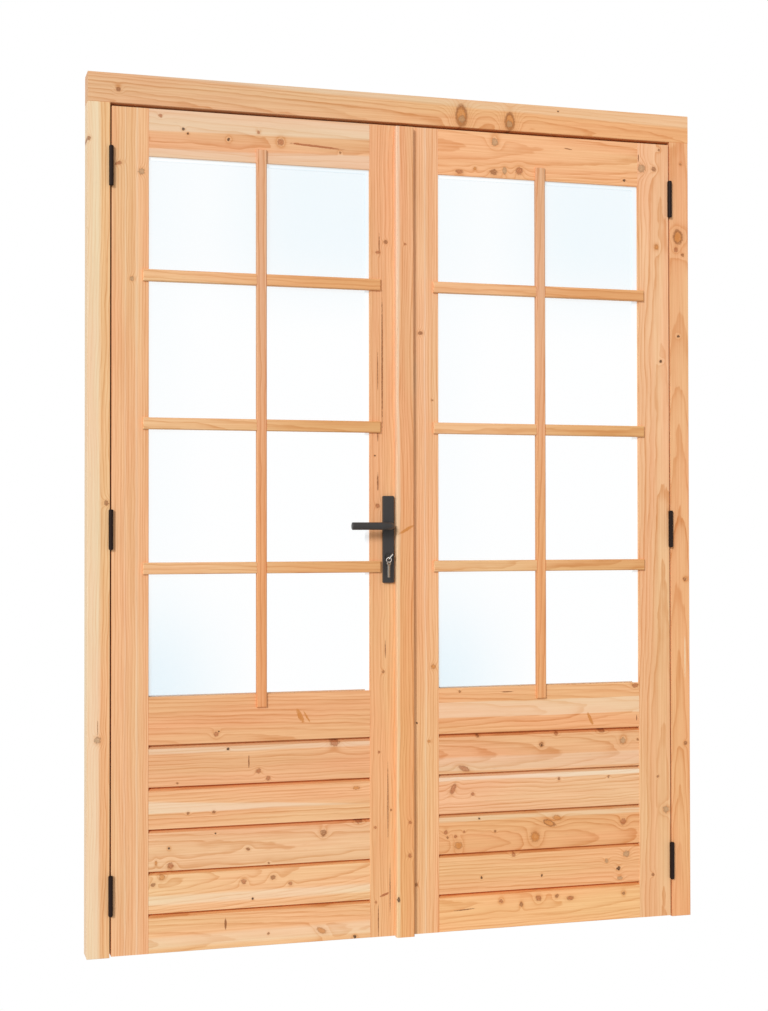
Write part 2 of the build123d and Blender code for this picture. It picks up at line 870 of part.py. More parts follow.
def make_key(plane):
    """Flat key in a plane whose y axis points from the blade to the bow and starts at the shoulder."""
    with BuildPart() as flat_key:
        with BuildSketch(plane):
            with Locations((0, -key_blade_length / 2)):
                Rectangle(key_blade_width, key_blade_length)
            with Locations((0, key_bow_centre / 2)):
                Rectangle(key_blade_width, key_bow_centre)
            with Locations((0, key_bow_centre)):
                SlotOverall(key_bow_width, key_bow_length)
            with Locations((0, key_hole_centre)):
                SlotOverall(key_hole_width, key_hole_height, mode=Mode.SUBTRACT)
            for place, share in enumerate(key_cut_depth_shares):
                cut_y = -(place + 1) * key_cut_pitch
                edge = key_blade_width / 2
                with BuildLine():
                    Polyline(
                        (edge, cut_y - key_cut_width / 2),
                        (edge - share * key_cut_depth, cut_y),
                        (edge, cut_y + key_cut_width / 2),
                        close=True,
                    )
                make_face(mode=Mode.SUBTRACT)
        extrude(amount=key_thickness / 2, both=True)
    return flat_key.part


save(make_key(key_plane), "key")

# The ring hangs on the lower end of the key's hole, and the spare key on the ring's lowest point
ring_depth = -cylinder_half_length - key_hole_centre
ring_x = lock_x - key_hole_width / 2 * math.sin(turn) - key_thickness / 2 * math.cos(turn)
hole_edge_z = cylinder_z - key_hole_width / 2 * math.cos(turn) + key_thickness / 2 * math.sin(turn)
ring_z = hole_edge_z - (ring_radius - ring_wire_radius - hang_gap)

with BuildPart() as key_ring:
    with BuildSketch(Plane.XY.offset(ring_z)):
        with Locations((ring_x + ring_radius, ring_depth)):
            Circle(ring_wire_radius)
    revolve(axis=Axis((ring_x, ring_depth, ring_z), (0, 1, 0)))
save(key_ring.part, "key_ring")

spare_hole_z = ring_z - ring_radius + ring_wire_radius + hang_gap - key_hole_height / 2
spare_turn = math.radians(spare_key_angle)
spare_plane = Plane(
    origin=(ring_x, ring_depth, spare_hole_z - key_hole_centre),
    x_dir=(math.sin(spare_turn), math.cos(spare_turn), 0),
    z_dir=(math.cos(spare_turn), -math.sin(spare_turn), 0),
)
save(make_key(spare_plane), "spare_key")

# Stiles that meet: the left one holds the lock
with BuildPart() as left_lock_stile:
    add(make_stile(left, opening_inner_edge, -1))
    block(
        outward(left, case_front_edge, case_rear_edge),
        around(0, case_thickness),
        (case_bottom, case_top),
        Mode.SUBTRACT,
    )
    block(
        outward(left, meeting_edge, case_front_edge),
        around(0, forend_width),
        (case_bottom - forend_overhang, case_top + forend_overhang),
        Mode.SUBTRACT,
    )
    cross_bore(lock_x, lever_height, lever_radius + lock_clearance, (leaf_front, leaf_back))
    with BuildSketch(Plane.XZ):
        draw_cylinder_profile(lock_clearance)
    extrude(amount=leaf_thickness / 2, both=True, mode=Mode.SUBTRACT)
save(left_lock_stile.part, "left_lock_stile")

# The right one holds the strike plate and a flush bolt at each end
strike_span = (
    dead_bolt_z - dead_bolt_height / 2 - strike_margin,
    latch_z + latch_height / 2 + strike_margin,
)
with BuildPart() as strike_plate:
    block(
        (meeting_edge, meeting_edge + strike_thickness),
        around(0, forend_width),
        strike_span,
    )
    for bolt_z, bolt_width, bolt_height in (latch_opening, dead_bolt_opening):
        block(
            (meeting_edge, meeting_edge + strike_thickness),
            around(0, bolt_width + strike_room * 2),
            around(bolt_z, bolt_height + strike_room * 2),
            Mode.SUBTRACT,
        )
save(strike_plate.part, "strike_plate")

# Each flush bolt as its end of the leaf and the way that it throws
bolt_ends = ((leaf_top, 1), (leaf_bottom, -1))


def thumb_span(end_z, throw):
    """Height span of a bolt's thumb piece at rest, lowest first."""
    return around(end_z - throw * thumb_depth_below_end, thumb_height)


def slot_span(end_z, throw):
    """Height span that the thumb piece sweeps, with clearance at both ends."""
    low, high = thumb_span(end_z, throw)
    travel = throw * bolt_throw
    return (low + min(travel, 0) - lock_clearance, high + max(travel, 0) + lock_clearance)


with BuildPart() as flush_bolt_plates:
    for end_z, throw in bolt_ends:
        block(
            (meeting_edge, meeting_edge + bolt_plate_thickness),
            around(0, bolt_plate_width),
            (end_z, end_z - throw * bolt_plate_height),
        )
        block(
            (meeting_edge, meeting_edge + bolt_plate_thickness),
            around(0, thumb_width + lock_clearance * 2),
            slot_span(end_z, throw),
            Mode.SUBTRACT,
        )
save(flush_bolt_plates.part, "flush_bolt_plates")

for end_z, throw, name in ((leaf_top, 1, "top_bolt_rod"), (leaf_bottom, -1, "bottom_bolt_rod")):
    with BuildPart() as bolt_rod:
        rod(bolt_axis, 0, (end_z - throw * bolt_sunk, end_z - throw * bolt_length), bolt_radius)
        block(
            (meeting_edge + thumb_sunk, bolt_axis),
            around(0, thumb_width),
            thumb_span(end_z, throw),
        )
    save(bolt_rod.part, name)

with BuildPart() as right_meeting_stile:
    add(make_stile(right, opening_inner_edge, -1))
    block(
        (meeting_edge, meeting_edge + strike_thickness),
        around(0, forend_width),
        strike_span,
        Mode.SUBTRACT,
    )
    for bolt_z, bolt_width, bolt_height in (latch_opening, dead_bolt_opening):
        block(
            (meeting_edge, meeting_edge + strike_pocket_depth),
            around(0, bolt_width + strike_room * 2),
            around(bolt_z, bolt_height + strike_room * 2),
            Mode.SUBTRACT,
        )
    for end_z, throw in bolt_ends:
        block(
            (meeting_edge, meeting_edge + bolt_plate_thickness),
            around(0, bolt_plate_width),
            (end_z, end_z - throw * bolt_plate_height),
            Mode.SUBTRACT,
        )
        block(
            (meeting_edge, bolt_axis),
            around(0, thumb_width + lock_clearance * 2),
            slot_span(end_z, throw),
            Mode.SUBTRACT,
        )
        rod(
            bolt_axis,
            0,
            (end_z, end_z - throw * (bolt_length + lock_clearance)),
            bolt_radius + lock_clearance,
            Mode.SUBTRACT,
        )
save(right_meeting_stile.part, "right_meeting_stile")
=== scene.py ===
import json
import math

import bpy
import numpy as np
from mathutils import Euler, Matrix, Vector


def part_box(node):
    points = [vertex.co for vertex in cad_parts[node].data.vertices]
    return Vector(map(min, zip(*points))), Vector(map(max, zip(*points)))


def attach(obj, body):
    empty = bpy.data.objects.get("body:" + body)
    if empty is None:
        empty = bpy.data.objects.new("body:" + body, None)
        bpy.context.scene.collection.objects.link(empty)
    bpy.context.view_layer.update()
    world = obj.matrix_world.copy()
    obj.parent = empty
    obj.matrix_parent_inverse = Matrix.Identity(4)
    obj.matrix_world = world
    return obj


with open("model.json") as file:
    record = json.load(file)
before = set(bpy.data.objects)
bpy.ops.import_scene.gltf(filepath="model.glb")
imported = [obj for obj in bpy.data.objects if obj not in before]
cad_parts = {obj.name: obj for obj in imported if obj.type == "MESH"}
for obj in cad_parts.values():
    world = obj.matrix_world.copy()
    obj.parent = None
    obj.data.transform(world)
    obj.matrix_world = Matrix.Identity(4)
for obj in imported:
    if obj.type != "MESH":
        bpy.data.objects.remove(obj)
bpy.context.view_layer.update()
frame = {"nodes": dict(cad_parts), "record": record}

record = frame["record"]
nodes = frame["nodes"]
slot_of = {row["node"]: row["material_slot"] for row in record["subparts"]}

# Lengths in the wood's tables are millimetres, on the front view's x and z.
MM = 0.001

# Wood colours, as linear light
HEART_PALE = (0.910, 0.530, 0.268)
HEART_DEEP = (0.650, 0.245, 0.068)
SAP_PALE = (0.900, 0.665, 0.435)
SAP_DEEP = (0.790, 0.455, 0.215)
PINK_ZONE = (1.020, 0.950, 0.940)
YELLOW_ZONE = (0.985, 1.040, 1.020)
MARK_TONES = {
    "brown": (0.280, 0.095, 0.030),
    "red": (0.430, 0.130, 0.045),
    "grey": (0.400, 0.270, 0.150),
    "amber": (0.620, 0.230, 0.050),
    "dark": (0.050, 0.018, 0.007),
    "pale": (0.880, 0.640, 0.400),
}

# Boards: the tongue stands above the bevelled front edge, with a shadow gap before it
TONGUE_HEIGHT = 8.0
BEVEL_HEIGHT = 9.0
GAP_HEIGHT = 4.5
# Painted shade in the boards' joints: brown on the bevel, a darker brown in the shadow gap
BEVEL_SHADE_FADE = (-1.0, 1.0)
GAP_SHADE_FADE = (-1.0, 0.5)
BEVEL_SHADE = (0.86, 0.70, 0.54)
GAP_SHADE = (0.88, 0.60, 0.36)


class Value:
    """A node's output with arithmetic: an expression on values adds the Math nodes that it needs."""

    def __init__(self, shading, output):
        self.shading = shading
        self.output = output

    def math(self, operation, *others, swap=False):
        terms = [*others, self] if swap else [self, *others]
        return self.shading.node("ShaderNodeMath", {"operation": operation}, dict(enumerate(terms)))

    def __add__(self, other):
        return self.math("ADD", other)

    __radd__ = __add__

    def __sub__(self, other):
        return self.math("SUBTRACT", other)

    def __rsub__(self, other):
        return self.math("SUBTRACT", other, swap=True)

    def __mul__(self, other):
        return self.math("MULTIPLY", other)

    __rmul__ = __mul__

    def __truediv__(self, other):
        return self.math("DIVIDE", other)

    def step(self, low, high):
        """Smooth step: 0 at low and 1 at high."""
        sockets = {"Value": self, "From Min": low, "From Max": high}
        return self.shading.node("ShaderNodeMapRange", {"interpolation_type": "SMOOTHSTEP"}, sockets)


class Shading:
    """A node tree and the ways to add nodes to it."""

    def __init__(self, tree):
        self.tree = tree

    def node(self, kind, settings=None, sockets=None, output=0):
        """Adds a node: its settings first, then a value or a link for each named or numbered socket."""
        added = self.tree.nodes.new(kind)
        for key, value in (settings or {}).items():
            setattr(added, key, value)
        for key, value in (sockets or {}).items():
            if isinstance(value, Value):
                self.tree.links.new(value.output, added.inputs[key])
            else:
                added.inputs[key].default_value = value
        return Value(self, added.outputs[output])

    def feed(self, target, **sockets):
        """Links varying values to the named sockets of a node."""
        for socket, value in sockets.items():
            self.tree.links.new(value.output, target.inputs[socket.replace("_", " ")])

    def noise(self, x, y, z, detail=2.0, roughness=0.5):
        """Noise of three scaled places, about -0.5 to 0.5."""
        vector = self.node("ShaderNodeCombineXYZ", None, {"X": x, "Y": y, "Z": z})
        sockets = {"Vector": vector, "Scale": 1.0, "Detail": detail, "Roughness": roughness}
        return self.node("ShaderNodeTexNoise", None, sockets, "Fac") - 0.5

    def scaled_noise(self, places, scales, shifts=(0.0, 0.0, 0.0), **quality):
        """Noise of places times scales, moved by shifts."""
        parts = [
            place * scale + shift if shift else place * scale
            for place, scale, shift in zip(places, scales, shifts)
        ]
        return self.noise(*parts, **quality)

    def blend(self, factor, first, second):
        """Colour mix from first to second."""
        return self.node("ShaderNodeMix", {"data_type": "RGBA"}, {0: factor, 6: first, 7: second}, 2)

    def scale(self, colour, factor):
        """A colour times a value."""
        return self.node("ShaderNodeVectorMath", {"operation": "SCALE"}, {0: colour, "Scale": factor})

    def multiply(self, colour, other):
        """A colour times another, part by part."""
        return self.node("ShaderNodeVectorMath", {"operation": "MULTIPLY"}, {0: colour, 1: other})


class Finish(Shading):
    """A material with one principled shader."""

    def __init__(self, name, **shader_values):
        self.material = bpy.data.materials.new(name)
        self.material.use_nodes = True
        super().__init__(self.material.node_tree)
        self.shader = self.tree.nodes["Principled BSDF"]
        for socket, value in shader_values.items():
            self.shader.inputs[socket.replace("_", " ")].default_value = value

    def place(self):
        """Object coordinates as a vector in millimetres and as its three parts."""
        metres = self.node("ShaderNodeTexCoord", output="Object")
        vector = self.node("ShaderNodeVectorMath", {"operation": "SCALE"}, {0: metres, "Scale": 1 / MM})
        parts = [self.node("ShaderNodeSeparateXYZ", None, {0: vector}, axis) for axis in "XYZ"]
        return vector, parts

    def bump(self, height, distance, strength=1.0):
        """Surface relief for the shader's Normal."""
        sockets = {"Height": height, "Distance": distance, "Strength": strength}
        self.feed(self.shader, Normal=self.node("ShaderNodeBump", None, sockets))


def rgba(colour):
    """A colour with full opacity."""
    return (*colour, 1.0)


# Noise in the timber: its scales per millimetre along the grain, across it and into its depth
SEED_STEP = 13.7
WANDER_SCALE = (0.0030, 0.010, 0.010)
RIPPLE_SCALE = (0.014, 0.05, 0.05)
STRIPE_SCALE = (0.0009, 0.055, 0.03)
STREAK_SCALE = (0.0045, 0.26, 0.26)
ZONE_SCALE = (0.0018, 0.016, 0.016)
FIBRE_SCALE = (0.02, 1.1, 1.1)
PORE_SCALE = (0.030, 0.45, 0.45)

# Noise in the marks: its scales per millimetre along x, y and z
RAGGED_SCALE = (0.20, 0.05, 0.20)
SPECK_SCALE = (0.42, 0.05, 0.42)

# How far noise bends the log, the rings and the sapwood's edges, in millimetres
SIDE_WANDER = 22.0
DEPTH_WANDER = 12.0
RING_RIPPLE = 5.0
EDGE_WANDER = 8.0
EDGE_RIPPLE = 4.0

# Year rings: their unevenness, and the rise and fall of darkness through one, as shares of its width
WIDTH_CHANGE_SCALE = 0.37
WIDTH_UNEVENNESS = 1.8
WEIGHT_CHANGE_SCALE = 0.63
WEIGHT_UNEVENNESS = 1.8
MEAN_WEIGHT = 0.85
RING_STRENGTH = 0.50
SLOW_RISE = (0.25, 0.95)
SLOW_SHARE = 0.45
LATE_RISE = (0.66, 0.92)
LATE_SHARE = 0.55
RING_END = (0.94, 1.0)

# Depth of colour: its level, and the shares of stripes, streaks, fibres and pores in it
BASE_DEPTH = 0.14
STRIPE_SHARE = 0.45
STREAK_SHARE = 1.15
SAP_DEPTH_SHARE = 0.8
FIBRE_SHARE = 0.12
PORE_SHARE = 0.12
PORE_EDGE = (0.20, 0.30)
ZONE_EDGE = (-0.22, 0.22)
TINT_TURN = (0.2, 0.8)

# Planed surface of the timber
TIMBER_GLOSS = 0.25
TIMBER_ROUGHNESS = 0.60
FIBRE_ROUGHNESS = 0.2
RING_SHINE = 0.06
FIBRE_RELIEF = 0.4
RING_RELIEF = 0.3
RELIEF_DEPTH = 0.2 * MM
RELIEF_STRENGTH = 0.35

# Marks: a mark longer than this many times its width is a long one, such as a crack
LONG_MARK_RATIO = 3.0
THROUGH_DEPTH = 1e4
KNOT_BULGE = 1.5
BULGE_FALL = -0.25
KNOT_RAGGEDNESS = 1.5
LONG_RAGGEDNESS = 0.8
RAGGED_KNOT_SIZE = 8.0
BIG_KNOT_SIZE = 15.0

# Parts of a mark: their edges as shares of its half size, and how much of the wood they cover
CORE_EDGE = (0.70, 1.10)
HALO_EDGE = (0.9, 2.4)
RIM_START = (0.55, 0.80)
RIM_END = (0.90, 1.25)
STRONG_COVER = 0.85
KNOT_COVER = 0.68
GREY_COVER = 0.55
HALO_COVER = 0.20
RIM_COVER = 0.30
BIG_RIM_COVER = 0.65
SPECK_SHARE = 1.1
RIM_SPECK_SHARE = 0.6


def mark_distances(wood, place, figure):
    """Marks as (distance, tone, is long, half length), where the distance is 1 on the mark's edge.

    The second value is the bulge by which the knots push the rings aside. Each knot's part of it falls
    off as a bell curve of the distance.
    """
    marks = []
    bulge = 0.0
    for mark_x, mark_z, half_x, half_z, tilt, tone in figure.get("marks", ()):
        sockets = {
            "Vector": place,
            "Location": (mark_x, 0.0, mark_z),
            "Rotation": (0.0, math.radians(tilt), 0.0),
            "Scale": (half_x, THROUGH_DEPTH, half_z),
        }
        local = wood.node("ShaderNodeMapping", {"vector_type": "TEXTURE"}, sockets)
        distance = wood.node("ShaderNodeVectorMath", {"operation": "LENGTH"}, {0: local}, "Value")
        small, large = sorted((half_x, half_z))
        is_long = large > LONG_MARK_RATIO * small
        marks.append((distance, tone, is_long, large))
        if not is_long:
            bell = (distance * distance * BULGE_FALL).math("EXPONENT")
            bulge = bulge + bell * small * KNOT_BULGE
    return marks, bulge


def mark_cover(tone, is_long):
    """How much of the wood a mark's core covers: most if it is dark or long, least if it is grey."""
    if tone == "dark" or is_long:
        return STRONG_COVER
    return GREY_COVER if tone == "grey" else KNOT_COVER


def paint_marks(wood, colour, marks, ragged, speck):
    """Adds the marks to a colour: a knot has a warm halo, a core and a rim, a long mark only a core."""
    for distance, tone, is_long, size in marks:
        raggedness = LONG_RAGGEDNESS if is_long else KNOT_RAGGEDNESS * min(1.0, RAGGED_KNOT_SIZE / size)
        edge = distance + ragged * raggedness
        core = (1.0 - edge.step(*CORE_EDGE)) * (mark_cover(tone, is_long) + speck * SPECK_SHARE)
        if not is_long:
            halo = 1.0 - edge.step(*HALO_EDGE)
            colour = wood.blend(halo * HALO_COVER, colour, rgba(MARK_TONES["amber"]))
        colour = wood.blend(core, colour, rgba(MARK_TONES[tone]))
        if not is_long and tone != "dark":
            rim_cover = BIG_RIM_COVER if size > BIG_KNOT_SIZE else RIM_COVER
            rim = edge.step(*RIM_START) * (1.0 - edge.step(*RIM_END))
            rim = rim * (rim_cover + speck * RIM_SPECK_SHARE)
            colour = wood.blend(rim, colour, rgba(MARK_TONES["brown"]))
    return colour


def shade_joint(wood, colour, z, top):
    """Paints shade on a board's bevel under its tongue, and darker painted shade in the shadow gap before
    the tongue.
    """
    bevel_start = top - TONGUE_HEIGHT - BEVEL_HEIGHT
    gap_start = top - TONGUE_HEIGHT - GAP_HEIGHT
    bevel_shade = z.step(*(bevel_start + end for end in BEVEL_SHADE_FADE))
    gap_shade = z.step(*(gap_start + end for end in GAP_SHADE_FADE))
    tint = wood.blend(gap_shade, rgba(BEVEL_SHADE), rgba(GAP_SHADE))
    return wood.blend(bevel_shade, colour, wood.multiply(colour, tint))


def ring_darkness(wood, radius, ring_width, shift):
    """Darkness of the year rings at a distance from the pith.

    Noise makes the rings uneven in width and weight. The darkness through one is a slow rise and a later,
    steeper one, and it falls to nothing at the ring's end.
    """
    turn = radius / ring_width
    turn = turn + wood.noise(turn * WIDTH_CHANGE_SCALE, shift, 0.0, detail=1.0) * WIDTH_UNEVENNESS
    phase = turn.math("FRACT")
    change = wood.noise(turn.math("FLOOR") * WEIGHT_CHANGE_SCALE + shift, 0.0, 0.0, detail=0.0)
    weight = MEAN_WEIGHT + change * WEIGHT_UNEVENNESS
    rise = phase.step(*SLOW_RISE) * SLOW_SHARE + phase.step(*LATE_RISE) * LATE_SHARE
    return rise * (1.0 - phase.step(*RING_END)) * weight


def timber(node, seed, figure):
    """Planed softwood sawn from a round log.

    The year rings are cylinders about the pith, which lies beside or behind the piece and leans a
    little, so its cut shows lines or pointed arches. Slow noise bends the rings, each knot pushes them
    aside, and bands across the piece are paler sapwood. Stretched noise gives streaks, fibres and pores,
    and slow noise turns the colour to pink or yellow.
    """
    low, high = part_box(node)
    upright = high.z - low.z > high.x - low.x
    middle = [(a + b) / 2 / MM for a, b in zip(low, high)]
    length = max(high.z - low.z, high.x - low.x) / MM
    wood = Finish("timber_" + node, Specular_IOR_Level=TIMBER_GLOSS)
    place, (x, y, z) = wood.place()
    along, across = (z, x) if upright else (x, z)
    mid_along, mid_across = (middle[2], middle[0]) if upright else (middle[0], middle[2])
    grain = (along, across, y)
    shift = seed * SEED_STEP
    ahead, back = (shift, 0.0, 0.0), (-shift, 0.0, 0.0)

    # Wander of the log along the grain, and the year rings
    wander = wood.scaled_noise(grain, WANDER_SCALE, (shift, 0.0, shift))
    ripple = wood.scaled_noise(grain, RIPPLE_SCALE, back)
    marks, bulge = mark_distances(wood, place, figure)
    pith_across, pith_depth, lean_across, lean_depth, ring_width = figure["rings"]
    offset = along - mid_along
    sideways = across - mid_across - pith_across - offset * lean_across + wander * SIDE_WANDER
    behind = y - pith_depth - offset * lean_depth + wander * DEPTH_WANDER
    radius = (sideways * sideways + behind * behind).math("SQRT") + ripple * RING_RIPPLE + bulge
    rings = ring_darkness(wood, radius, ring_width, shift) * figure.get("strength", RING_STRENGTH)

    # Depth of colour: rings, broad stripes and fine streaks
    stripe = wood.scaled_noise(grain, STRIPE_SCALE, ahead, detail=3.0)
    streak = wood.scaled_noise(grain, STREAK_SCALE, ahead, detail=3.0, roughness=0.65)
    depth = BASE_DEPTH + rings + stripe * STRIPE_SHARE + streak * STREAK_SHARE

    # Heartwood, and sapwood in bands whose edges follow the wander
    colour = wood.blend(depth, rgba(HEART_PALE), rgba(HEART_DEEP))
    for band_low, band_high, share, soft, lean_low, lean_high in figure.get("sap", ()):
        edge = across + wander * EDGE_WANDER + ripple * EDGE_RIPPLE
        above = (edge - offset * lean_low).step(band_low - soft, band_low + soft)
        below = (edge - offset * lean_high).step(band_high + soft, band_high - soft)
        pale = wood.blend(depth * SAP_DEPTH_SHARE, rgba(SAP_PALE), rgba(SAP_DEEP))
        colour = wood.blend(above * below * share, colour, pale)

    # Zones of hue, fibres, short dark pores, and a tint that turns from one end to the other
    zone = wood.scaled_noise(grain, ZONE_SCALE, back).step(*ZONE_EDGE)
    colour = wood.multiply(colour, wood.blend(zone, rgba(PINK_ZONE), rgba(YELLOW_ZONE)))
    fibre = wood.scaled_noise(grain, FIBRE_SCALE, (0.0, shift, 0.0), detail=3.0, roughness=0.7)
    pore = wood.scaled_noise(grain, PORE_SCALE, ahead, detail=1.0).step(*PORE_EDGE)
    colour = wood.scale(colour, 1.0 + fibre * FIBRE_SHARE - pore * PORE_SHARE)
    end_tint = figure.get("end_tint", figure["tint"])
    toward_end = (offset / length + 0.5).step(*TINT_TURN)
    colour = wood.multiply(colour, wood.blend(toward_end, rgba(figure["tint"]), rgba(end_tint)))

    # Marks, and painted shade in the joints between boards
    ragged = wood.scaled_noise((x, y, z), RAGGED_SCALE, (0.0, shift, 0.0), detail=3.0)
    speck = wood.scaled_noise((x, y, z), SPECK_SCALE, (0.0, -shift, 0.0))
    colour = paint_marks(wood, colour, marks, ragged, speck)
    if "board" in node or "bottom_rail" in node:
        colour = shade_joint(wood, colour, z, high.z / MM)

    roughness = TIMBER_ROUGHNESS + fibre * FIBRE_ROUGHNESS - rings * RING_SHINE
    wood.feed(wood.shader, Base_Color=colour, Roughness=roughness)
    wood.bump(fibre * FIBRE_RELIEF - rings * RING_RELIEF, RELIEF_DEPTH, RELIEF_STRENGTH)
    return wood.material


def knot(x, z, radius, tone="brown", stretch=1.0, tilt=0.0):
    """A round mark, wider than high by the stretch."""
    return (x, z, radius * stretch, radius, tilt, tone)


def crack(x, z, half_length, half_width, tone="brown", tilt=0.0):
    """A thin mark, which stands upright before its tilt if its length is the greater."""
    return (x, z, half_width, half_length, tilt, tone)


def band(low, high, share=1.0, soft=2.0, lean_low=0.0, lean_high=0.0):
    """Sapwood between two edges across the piece, which may lean along it."""
    return (low, high, share, soft, lean_low, lean_high)


